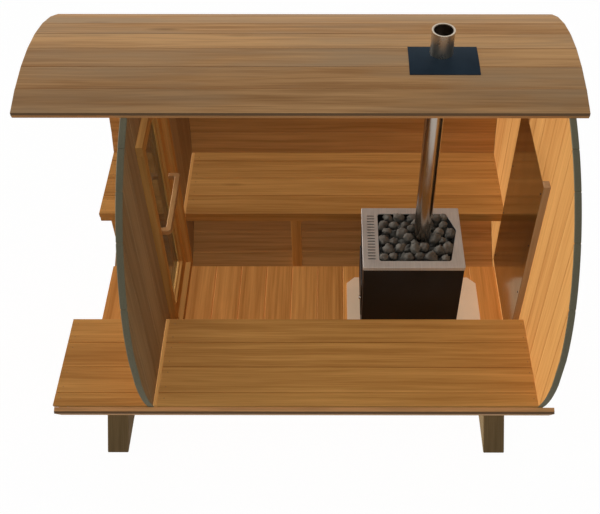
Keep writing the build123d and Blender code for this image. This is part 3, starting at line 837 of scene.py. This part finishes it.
class SAUNA_OT_door(bpy.types.Operator):
    """Door leaf with its glass, handles and hinges"""

    bl_idname = "sauna.door"
    bl_label = "Door"

    def execute(self, context):
        sizes = context.scene.sauna_door
        self.add_leaf(sizes)
        self.add_beads(sizes)
        refinish("door_glass", "pane")
        self.add_handles(sizes)
        self.add_hinge_screws(sizes)
        return {"FINISHED"}

    def add_leaf(self, sizes):
        """Stiles over the whole height, and rails between them."""
        leaf = Boards(seed=51)
        low_leaf, high_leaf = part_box("door_stiles")
        low_pane, high_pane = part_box("door_glass")
        for start, end in ((low_leaf[Y], low_pane[Y]), (high_pane[Y], high_leaf[Y])):
            box_board(leaf, (low_leaf[X], start, low_leaf[Z]), (high_leaf[X], end, high_leaf[Z]), Z,
                      sizes.bevel)
        for start, end in ((low_leaf[Z], low_pane[Z]), (high_pane[Z], high_leaf[Z])):
            box_board(leaf, (low_leaf[X], low_pane[Y], start), (high_leaf[X], high_pane[Y], end), Y,
                      sizes.bevel)
        leaf.piece("door_leaf_boards", "door", "frame_wood", ("seat_wood", "cut_end"),
                   ("door_stiles", "door_rails"))

    def add_beads(self, sizes):
        """Strips that hold the glass, on both of its sides."""
        beads = Boards(seed=52)
        low_pane, high_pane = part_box("door_glass")
        for near, far in ((low_pane[X] - sizes.bead, low_pane[X]), (high_pane[X], high_pane[X] + sizes.bead)):
            for start, end in both_ends(low_pane[Y], high_pane[Y], sizes.bead):
                box_board(beads, (near, start, low_pane[Z]), (far, end, high_pane[Z]), Z, sizes.bead_bevel)
            for start, end in both_ends(low_pane[Z], high_pane[Z], sizes.bead):
                box_board(beads, (near, low_pane[Y] + sizes.bead, start),
                          (far, high_pane[Y] - sizes.bead, end), Y, sizes.bead_bevel)
        beads.piece("door_glass_beads", "door", "frame_wood", ("seat_wood", "cut_end"))

    def add_handles(self, sizes):
        """Bow handles, each sawn from one piece, with its grain along the grip."""
        corner_share = 0.75
        chamfer = 0.006
        for node, outward in (("door_handle_inside", 1), ("door_handle_outside", -1)):
            node_low, node_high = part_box(node)
            reach = node_high[X] - node_low[X]
            half = (node_high[Y] - node_low[Y]) / 2
            bar = node_high[Z] - node_low[Z]
            corner = corner_share * bar
            turn = arc_points(corner, 0, math.pi / 2, steps=6)
            right = [(half, 0)] + [(half - corner + u, reach - corner + v) for u, v in turn]
            left = [(-u, v) for u, v in reversed(right)]
            grip = half - bar
            inside = [(grip, 0), (grip, reach - bar - chamfer), (grip - chamfer, reach - bar)]
            bow = right + left + [(-u, v) for u, v in inside] + inside[::-1]
            middle = (node_low[Y] + node_high[Y]) / 2
            face, side = (node_low[X], node_high[Z]) if outward > 0 else (node_high[X], node_low[Z])
            boards = Boards(seed=53)
            boards.add(bow, placed((face, middle, side), (0, 1, 0), (outward, 0, 0)), bar, "across",
                       sizes.handle_bevel)
            boards.piece(node + "_bow", "door", "frame_wood", ("handle_wood",), (node,))

    def add_hinge_screws(self, sizes):
        """Three screws in each hinge plate."""
        plate_thickness, plate_height = 0.003, 0.080
        inset = 0.018
        rises = (0.014, 0.040, 0.066)
        face = low("door_jambs", X) - plate_thickness
        for node, body in (("hinge_jamb_halves", "barrel"), ("hinge_leaf_halves", "door")):
            node_low, node_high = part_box(node)
            plate_y = node_high[Y] - inset if body == "barrel" else node_low[Y] + inset
            points = [(face, plate_y, bottom + rise) for bottom in (node_low[Z], node_high[Z] - plate_height)
                      for rise in rises]
            screws(node + "_screws", body, points, (-1, 0, 0), sizes.screw_radius)


class SAUNA_OT_floors(bpy.types.Operator):
    """Boards of the room's floor and the porch floor, and the bearers under them"""

    bl_idname = "sauna.floors"
    bl_label = "Floors"

    def execute(self, context):
        sizes = context.scene.sauna_floors
        for node, count in (("room_floor", sizes.room_boards), ("porch_floor", sizes.porch_boards)):
            node_low, node_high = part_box(node)
            pitch = (node_high[X] - node_low[X]) / count
            boards = Boards(seed=61)
            for i in range(count):
                left = node_low[X] + i * pitch + sizes.joint / 2
                box_board(boards, (left, node_low[Y], node_low[Z]),
                          (left + pitch - sizes.joint, node_high[Y], node_high[Z]), Y, sizes.bevel)
            boards.piece(node + "_boards", "barrel", "floor_wood", ("floor_wood", "cut_end"), (node,))
        self.add_bearers(context.scene.sauna_shell, sizes)
        return {"FINISHED"}

    def add_bearers(self, shell, sizes):
        """Bearers on edge under the floors, their undersides cut to the shell."""
        node_low, node_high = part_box("floor_bearers")
        top = node_high[Z] - shell.axis_height
        boards = Boards(seed=62)
        for floor in ("porch_floor", "room_floor"):
            left = low(floor, X)
            for start, end in reversed(both_ends(node_low[Y], node_high[Y], sizes.bearer_width)):
                outline = underside(shell, start, sizes.bearer_width) + [(end, top), (start, top)]
                boards.add(outline, section(left, shell.axis_height), high(floor, X) - left, "out",
                           sizes.bearer_bevel, along_faces("out"))
        boards.piece("floor_bearer_boards", "barrel", "floor_wood", ("inside_wood", "cut_end"),
                     ("floor_bearers",))


class SAUNA_OT_seats(bpy.types.Operator):
    """Seats of the room and the porch with what carries them"""

    bl_idname = "sauna.seats"
    bl_label = "Seats"
    SEATS = (("back_bench", 1), ("front_bench", -1), ("back_porch_bench", 1), ("front_porch_bench", -1))
    # Outer limit of a member that reaches the staves, well past them
    PAST_SHELL = 1
    # Distances of the screws from a board's edges, and the width up to which it has one row of them
    SCREW_FROM_LEFT = 0.030
    SCREW_FROM_RIGHT = 0.016
    SCREW_FROM_AISLE = 0.030
    SCREW_FROM_SHELL = 0.034
    ONE_ROW = 0.045

    def execute(self, context):
        shell = context.scene.sauna_shell
        sizes = context.scene.sauna_seats
        bottom = low("back_bench", Z) - shell.axis_height
        top = high("back_bench", Z) - shell.axis_height
        heads = []
        for node, side in self.SEATS:
            heads += self.add_seat(node, side, 71 + len(heads), bottom, top)
        screws("seat_screws", "barrel", heads, (0, 0, 1), sizes.screw_radius, "brass")
        self.add_trims(shell, sizes, bottom, top)
        self.add_aprons(sizes)
        self.add_cleats(shell, sizes, bottom)
        self.add_posts(shell, sizes, bottom)
        return {"FINISHED"}

    def add_seat(self, node, side, seed, bottom, top):
        """Boards of one seat at the back (+1) or front (-1). Returns the places of its screws."""
        shell = bpy.context.scene.sauna_shell
        sizes = bpy.context.scene.sauna_seats
        left, right = low(node, X), high(node, X)
        boards = Boards(seed)
        heads = []
        start = low("back_bench", Y)
        while start < high("back_bench", Y):
            outline = seat_outline(shell, start, start + sizes.pitch - sizes.joint, bottom, top, side)
            boards.add(outline, section(left, shell.axis_height), right - left, "out", sizes.bevel,
                       along_faces("out"))
            rows = [start + self.SCREW_FROM_AISLE]
            second = min(start + sizes.pitch, high("back_bench", Y)) - self.SCREW_FROM_SHELL
            if second > start + self.ONE_ROW:
                rows.append(second)
            for x in (left + self.SCREW_FROM_LEFT, right - self.SCREW_FROM_RIGHT):
                heads += [(x, side * y, high("back_bench", Z)) for y in rows]
            start += sizes.pitch
        boards.piece(node + "_boards", "barrel", "bench_wood", ("seat_wood", "cut_end"), (node,))
        return heads

    def add_trims(self, shell, sizes, bottom, top):
        """Strips over the ends of the seats."""
        trims = Boards(seed=81)
        trim_low, trim_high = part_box("bench_end_trims")
        for side in (1, -1):
            outline = seat_outline(shell, low("back_bench", Y), self.PAST_SHELL, bottom, top, side)
            trims.add(outline, section(trim_low[X], shell.axis_height), trim_high[X] - trim_low[X],
                      "across", sizes.frame_bevel)
        trims.piece("bench_end_trim_boards", "barrel", "bench_wood", ("trim_wood",), ("bench_end_trims",))

    def add_aprons(self, sizes):
        """Boards on edge under the seats' edges towards the aisle."""
        aprons = Boards(seed=82)
        apron_low, apron_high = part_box("bench_aprons")
        for side in (1, -1):
            for floor in ("room_floor", "porch_floor"):
                left = low(floor, X)
                start, end = sorted((side * (apron_high[Y] - sizes.apron_thickness), side * apron_high[Y]))
                aprons.add(rectangle(start, 0, end, apron_high[Z] - apron_low[Z]),
                           section(left, apron_low[Z]), high(floor, X) - left, "out", sizes.frame_bevel,
                           along_faces("out"))
        aprons.piece("bench_apron_boards", "barrel", "bench_wood", ("seat_wood", "cut_end"),
                     ("bench_aprons",))

    def add_cleats(self, shell, sizes, bottom):
        """Cleats under the seats on both ends of the room and of the porch."""
        cleats = Boards(seed=83)
        cleat_low, cleat_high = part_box("bench_cleats")
        lefts = (cleat_low[X], low("door_wall_front", X) - sizes.cleat_thickness, low("room_floor", X),
                 cleat_high[X] - sizes.cleat_thickness)
        for side in (1, -1):
            outline = seat_outline(shell, high("bench_aprons", Y), self.PAST_SHELL,
                                   cleat_low[Z] - shell.axis_height, bottom, side)
            for left in lefts:
                cleats.add(outline, section(left, shell.axis_height), sizes.cleat_thickness, "across",
                           sizes.cleat_bevel)
        cleats.piece("bench_cleat_boards", "barrel", "bench_wood", ("inside_wood",), ("bench_cleats",))

    def add_posts(self, shell, sizes, bottom):
        """Posts from the staves up to the seats, one in the room and one on the porch on each side."""
        posts = Boards(seed=84)
        inner = high("bench_aprons", Y)
        porch_place = low("bench_cleats", X) + sizes.cleat_thickness
        for side in (1, -1):
            start, end = sorted((side * inner, side * (inner + sizes.post_width)))
            outline = underside(shell, start, sizes.post_width) + [(end, bottom), (start, bottom)]
            for left, depth in ((sizes.room_post_place, sizes.room_post), (porch_place, sizes.porch_post)):
                posts.add(outline, section(left, shell.axis_height), depth, "up", sizes.frame_bevel)
        posts.piece("bench_post_boards", "barrel", "bench_wood", ("seat_wood",), ("bench_posts",))


class SAUNA_OT_cradles(bpy.types.Operator):
    """Cradles under the barrel"""

    bl_idname = "sauna.cradles"
    bl_label = "Cradles"

    def execute(self, context):
        shell = context.scene.sauna_shell
        radius = shell.radius + context.scene.sauna_walls.clearance
        bevel = 0.003
        for node in ("left_cradle", "right_cradle"):
            node_low, node_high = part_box(node)
            half = node_high[Y]
            tip = node_high[Z]
            tip_place = half - tip
            arc_half = math.sqrt(radius**2 - (shell.axis_height - tip) ** 2)
            angle = math.asin(arc_half / radius)
            arc = arc_points(radius, -math.pi / 2 + angle, -math.pi / 2 - angle, steps=36)
            hollow = [(y, z + shell.axis_height) for y, z in arc]
            outline = [(-half, 0), (half, 0), (tip_place, tip)] + hollow + [(-tip_place, tip)]
            boards = Boards(seed=91)
            boards.add(outline, section(node_low[X], 0), node_high[X] - node_low[X], "across", bevel)
            boards.piece(node + "_plank", "barrel", "cradle_wood", ("cradle_wood",), (node,))
        return {"FINISHED"}


class SAUNA_OT_heater(bpy.types.Operator):
    """Finishes of the heater, its plate, flue, flashing, shield and of the hinges"""

    bl_idname = "sauna.heater"
    bl_label = "Heater and metal"

    def execute(self, context):
        finishes = {
            "heater_casing": "casing", "heater_feet": "casing", "fire_door": "casing",
            "fire_door_latch": "steel", "heater_top_frame": "top_frame", "floor_plate": "plate",
            "flue_pipe": "steel", "chimney_pipe": "chimney", "roof_flashing": "flashing",
            "heat_shield": "shield", "hinge_jamb_halves": "steel", "hinge_leaf_halves": "steel",
        }
        for node, name in finishes.items():
            refinish(node, name)
        self.add_battens()
        return {"FINISHED"}

    def add_battens(self):
        """Battens behind the heat shield and the screws that hold it."""
        width, bevel = 0.045, 0.0015
        rows, margin = 4, 0.06
        screw_radius = 0.005
        node_low, node_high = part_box("shield_battens")
        rise = (node_high[Z] - node_low[Z] - 2 * margin) / (rows - 1)
        boards = Boards(seed=95)
        heads = []
        for start, end in both_ends(node_low[Y], node_high[Y], width):
            box_board(boards, (node_low[X], start, node_low[Z]), (node_high[X], end, node_high[Z]), Z, bevel)
            heads += [(low("heat_shield", X), (start + end) / 2, node_low[Z] + margin + k * rise)
                      for k in range(rows)]
        boards.piece("shield_batten_boards", "barrel", "batten_wood", ("batten_wood", "batten_wood"),
                     ("shield_battens",))
        screws("shield_screws", "barrel", heads, (-1, 0, 0), screw_radius, "casing")


class SAUNA_OT_stones(bpy.types.Operator):
    """Heap of rounded stones in the heater"""

    bl_idname = "sauna.stones"
    bl_label = "Stones"
    # Gap between the stones and the basin or the flue
    CLEARANCE = 0.001
    # Drop of each layer under the rim, and its spacing as a share of a stone's width
    LAYERS = ((0.085, 0.90), (0.042, 0.92), (0.0, 1.02))
    # Distance between rows, place of the first stone and jitter, as shares of the spacing
    ROW_SHARE = 0.88
    FIRST = (0.30, 0.50)
    JITTER = 0.20
    # How near a stone's middle comes to a wall, and how near it may start to the slanted side
    HOLD = 0.85
    SLANT_HOLD = 0.20
    # Share of the flue's radius within which a stone is left out
    IN_FLUE = 0.8
    # How widths, stretches along three axes, tilts and heights vary
    WIDTHS = (0.74, 1.16)
    STRETCHES = ((0.90, 1.20), (0.78, 1.0), (0.70, 0.95))
    TILT = 0.6
    RISES = (-0.010, 0.006)
    SUNK = 0.50
    # Radius without lumps and creases, then how fine these are and how tall or deep, as shares of the reach
    FULL = 1.06
    LUMPS = ((0.9, 0.30), (2.2, 0.22), (5.0, 0.15), (11.0, 0.06))
    CREASES = (1.7, 0.40)

    def execute(self, context):
        self.sizes = context.scene.sauna_stones
        self.chance = random.Random(self.sizes.seed)
        self.low, self.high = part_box("stone_bed")
        flue_low, flue_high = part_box("flue_pipe")
        self.flue = Vector(((flue_low[X] + flue_high[X]) / 2, (flue_low[Y] + flue_high[Y]) / 2))
        self.flue_radius = (flue_high[X] - flue_low[X]) / 2
        self.heap = bmesh.new()
        self.tone_layer = self.heap.loops.layers.float.new("tone")
        for layer, (drop, spacing_share) in enumerate(self.LAYERS):
            self.add_layer(layer, drop, self.sizes.width * spacing_share)
        mesh = bpy.data.meshes.new("stones")
        self.heap.to_mesh(mesh)
        self.heap.free()
        mesh.materials.append(finish("stone"))
        mesh.polygons.foreach_set("use_smooth", [True] * len(mesh.polygons))
        settled(bpy.data.objects.new("stones", mesh), "barrel", ("stone_bed",))
        return {"FINISHED"}

    def add_layer(self, layer, drop, spacing):
        """Rows of stones, each row and each layer set over by half a spacing."""
        row_height = spacing * self.ROW_SHARE
        rows = round((self.high[Y] - self.low[Y]) / row_height)
        columns = math.ceil((self.high[X] - self.low[X]) / spacing)
        for row in range(rows):
            for column in range(columns):
                offset = spacing / 2 if (row + layer) % 2 else 0
                point = Vector((self.low[X] + spacing * (self.FIRST[X] + column) + offset,
                                self.low[Y] + row_height * (self.FIRST[Y] + row)))
                jitter = Vector((self.chance.uniform(-1, 1), self.chance.uniform(-1, 1)))
                width = self.sizes.width * self.chance.uniform(*self.WIDTHS)
                self.add_stone(point + jitter * spacing * self.JITTER, width, drop)

    def right_side(self, y):
        """The basin's right side at y. It leans out from both corners to its tip."""
        tip_place = self.sizes.tip_place
        share = (y - self.low[Y]) / (tip_place - self.low[Y])
        if y > tip_place:
            share = (self.high[Y] - y) / (self.high[Y] - tip_place)
        return self.high[X] - self.sizes.tip_length * (1 - max(0, share))

    def in_basin(self, point):
        """Point moved sideways, if it has to be, clear of the basin's walls and the flue."""
        y = max(self.low[Y] + self.CLEARANCE, min(self.high[Y] - self.CLEARANCE, point.y))
        x = max(self.low[X] + self.CLEARANCE, min(self.right_side(y) - self.CLEARANCE, point.x))
        away = Vector((x, y)) - self.flue
        if away.length < self.flue_radius + self.CLEARANCE:
            away = away.normalized() * (self.flue_radius + self.CLEARANCE)
        return Vector((*(self.flue + away), point.z))

    def add_stone(self, point, width, drop):
        """Adds one stone, kept inside the basin and clear of the flue, unless it is mostly outside."""
        reach = width * 0.5
        hold = reach * self.HOLD
        right = self.right_side(point.y)
        if point.x > right - self.SLANT_HOLD * reach:
            return
        point.y = max(self.low[Y] + hold, min(self.high[Y] - hold, point.y))
        point.x = max(self.low[X] + hold, min(right - hold, point.x))
        away = point - self.flue
        if away.length < self.flue_radius * self.IN_FLUE:
            return
        if away.length < self.flue_radius + hold:
            point = self.flue + away.normalized() * (self.flue_radius + hold)
        height = self.height_of(point, reach, drop)
        stretch = Vector([self.chance.uniform(*span) for span in self.STRETCHES])
        seed = Vector([self.chance.uniform(-50, 50) for axis in range(3)])
        turn = Matrix.Rotation(self.chance.uniform(0, math.tau), 3, "Z") @ Matrix.Rotation(
            self.chance.uniform(-self.TILT, self.TILT), 3, "X")
        place = Vector((point.x, point.y, height))
        tone = self.chance.uniform(0, 1)
        faces = set()
        for vert in bmesh.ops.create_icosphere(self.heap, subdivisions=3, radius=1.0)["verts"]:
            direction = vert.co.normalized()
            outward = direction * stretch * reach * self.fullness(direction, seed)
            vert.co = self.in_basin(place + turn @ outward)
            faces.update(vert.link_faces)
        for face in faces:
            for loop in face.loops:
                loop[self.tone_layer] = tone

    def height_of(self, point, reach, drop):
        """Height of a stone's middle. The uppermost layer is crowned."""
        middle_x, middle_y = (self.low[X] + self.high[X]) / 2, (self.low[Y] + self.high[Y]) / 2
        share = max(abs(point.x - middle_x) / (self.high[X] - middle_x),
                    abs(point.y - middle_y) / (self.high[Y] - middle_y))
        lift = self.sizes.crown * (1 - min(1, share) ** 2) if drop == 0 else 0
        rim = high("heater_top_frame", Z)
        return rim + lift - drop - reach * self.SUNK + self.chance.uniform(*self.RISES)

    def fullness(self, direction, seed):
        """Radius of a stone in this direction, as a share: lumps of several sizes less a few creases."""
        lumps = sum(noise.noise(direction * fineness + seed) * height for fineness, height in self.LUMPS)
        fineness, depth = self.CREASES
        return self.FULL + lumps - abs(noise.noise(direction * fineness - seed)) * depth


class SAUNA_OT_stage(bpy.types.Operator):
    """Pale floor, soft light and the camera"""

    bl_idname = "sauna.stage"
    bl_label = "Stage"
    KEY_FROM, KEY_SPREAD = (-0.83, 0.48, 0.29), 12
    FILL_FROM, FILL_SPREAD = (0.10, -0.55, 0.83), 40

    def execute(self, context):
        settings = context.scene.sauna_stage
        self.add_camera(context, settings)
        self.add_floor()
        self.light_world(context, settings)
        self.add_sun("key_light", settings.key, self.KEY_FROM, self.KEY_SPREAD)
        self.add_sun("fill_light", settings.fill, self.FILL_FROM, self.FILL_SPREAD)
        context.scene.view_settings.view_transform = "Standard"
        return {"FINISHED"}

    def add_camera(self, context, settings):
        """Camera at the place that the picture was taken from."""
        data = bpy.data.cameras.new("camera")
        camera = bpy.data.objects.new("camera", data)
        context.scene.collection.objects.link(camera)
        camera.location = settings.camera_place
        camera.rotation_euler = (math.pi / 2 - settings.camera_dip, 0, settings.camera_turn)
        width, height = settings.picture_pixels
        data.sensor_fit = "HORIZONTAL"
        data.lens = data.sensor_width * settings.focal_pixels / width
        data.shift_x = (width / 2 - settings.centre_pixels[0]) / width
        data.shift_y = (settings.centre_pixels[1] - height / 2) / width
        data.clip_end = 200
        context.scene.camera = camera

    def add_floor(self):
        """Large white ground that keeps a faint shadow."""
        reach = 30
        glow_strength, glow_share = 1.08, 0.86
        mesh = bpy.data.meshes.new("ground")
        mesh.from_pydata([(x, y, 0) for x, y in rectangle(-reach, -reach, reach, reach)], [], [(0, 1, 2, 3)])
        s = Shader("ground")
        s.set(Base_Color=opaque((0.82, 0.82, 0.82)), Roughness=0.9, Specular_IOR_Level=0.1)
        glow = s.node("ShaderNodeEmission", {"Color": WHITE, "Strength": glow_strength}).outputs[0]
        share = s.math("MULTIPLY", s.seen(), glow_share)
        lit = s.node("ShaderNodeMixShader", {0: share, 1: s.surface.outputs[0], 2: glow}).outputs[0]
        s.fill(s.tree.nodes["Material Output"].inputs["Surface"], lit)
        mesh.materials.append(s.material)
        ground = bpy.data.objects.new("ground", mesh)
        bpy.context.scene.collection.objects.link(ground)

    def light_world(self, context, settings):
        """White surroundings to the eye, even light for everything else."""
        world = bpy.data.worlds.new("surroundings")
        context.scene.world = world
        world.use_nodes = True
        light = Nodes(world.node_tree)
        inputs = light.tree.nodes["Background"].inputs
        light.fill(inputs["Color"], WHITE)
        light.fill(inputs["Strength"], light.spread(light.seen(), 0.0, 1.0, settings.sky, 1.0))

    def add_sun(self, name, strength, towards, spread):
        """Distant lamp that shines from this direction and, like the picture's light, throws no shadow."""
        data = bpy.data.lights.new(name, "SUN")
        data.energy = strength
        data.angle = math.radians(spread)
        data.use_shadow = False
        lamp = bpy.data.objects.new(name, data)
        bpy.context.scene.collection.objects.link(lamp)
        lamp.rotation_euler = Vector(towards).to_track_quat("Z", "Y").to_euler()


PIECES = (SAUNA_OT_shell, SAUNA_OT_end_walls, SAUNA_OT_doorway, SAUNA_OT_door, SAUNA_OT_floors,
          SAUNA_OT_seats, SAUNA_OT_cradles, SAUNA_OT_heater, SAUNA_OT_stones, SAUNA_OT_stage)


class SAUNA_PT_pieces(bpy.types.Panel):
    """Buttons that build the sauna piece by piece"""

    bl_idname = "SAUNA_PT_pieces"
    bl_label = "Barrel sauna"
    bl_space_type = "VIEW_3D"
    bl_region_type = "UI"
    bl_category = "Sauna"

    def draw(self, context):
        for piece in PIECES:
            self.layout.operator(piece.bl_idname)


SETTINGS = {
    "sauna_shell": ShellSizes, "sauna_walls": WallSizes, "sauna_floors": FloorSizes,
    "sauna_seats": SeatSizes, "sauna_door": DoorSizes, "sauna_stones": StoneSizes,
    "sauna_woods": WoodColours, "sauna_metals": MetalColours, "sauna_stage": StageSettings,
}


def register():
    for group in (*SETTINGS.values(), *PIECES, SAUNA_PT_pieces):
        bpy.utils.register_class(group)
    for name, group in SETTINGS.items():
        setattr(bpy.types.Scene, name, PointerProperty(type=group))


def unregister():
    for name in SETTINGS:
        delattr(bpy.types.Scene, name)
    for group in (SAUNA_PT_pieces, *reversed(PIECES), *SETTINGS.values()):
        bpy.utils.unregister_class(group)


def main():
    """Builds every piece."""
    register()
    for piece in PIECES:
        group, name = piece.bl_idname.split(".")
        getattr(getattr(bpy.ops, group), name)()


if __name__ == "__main__":
    main()
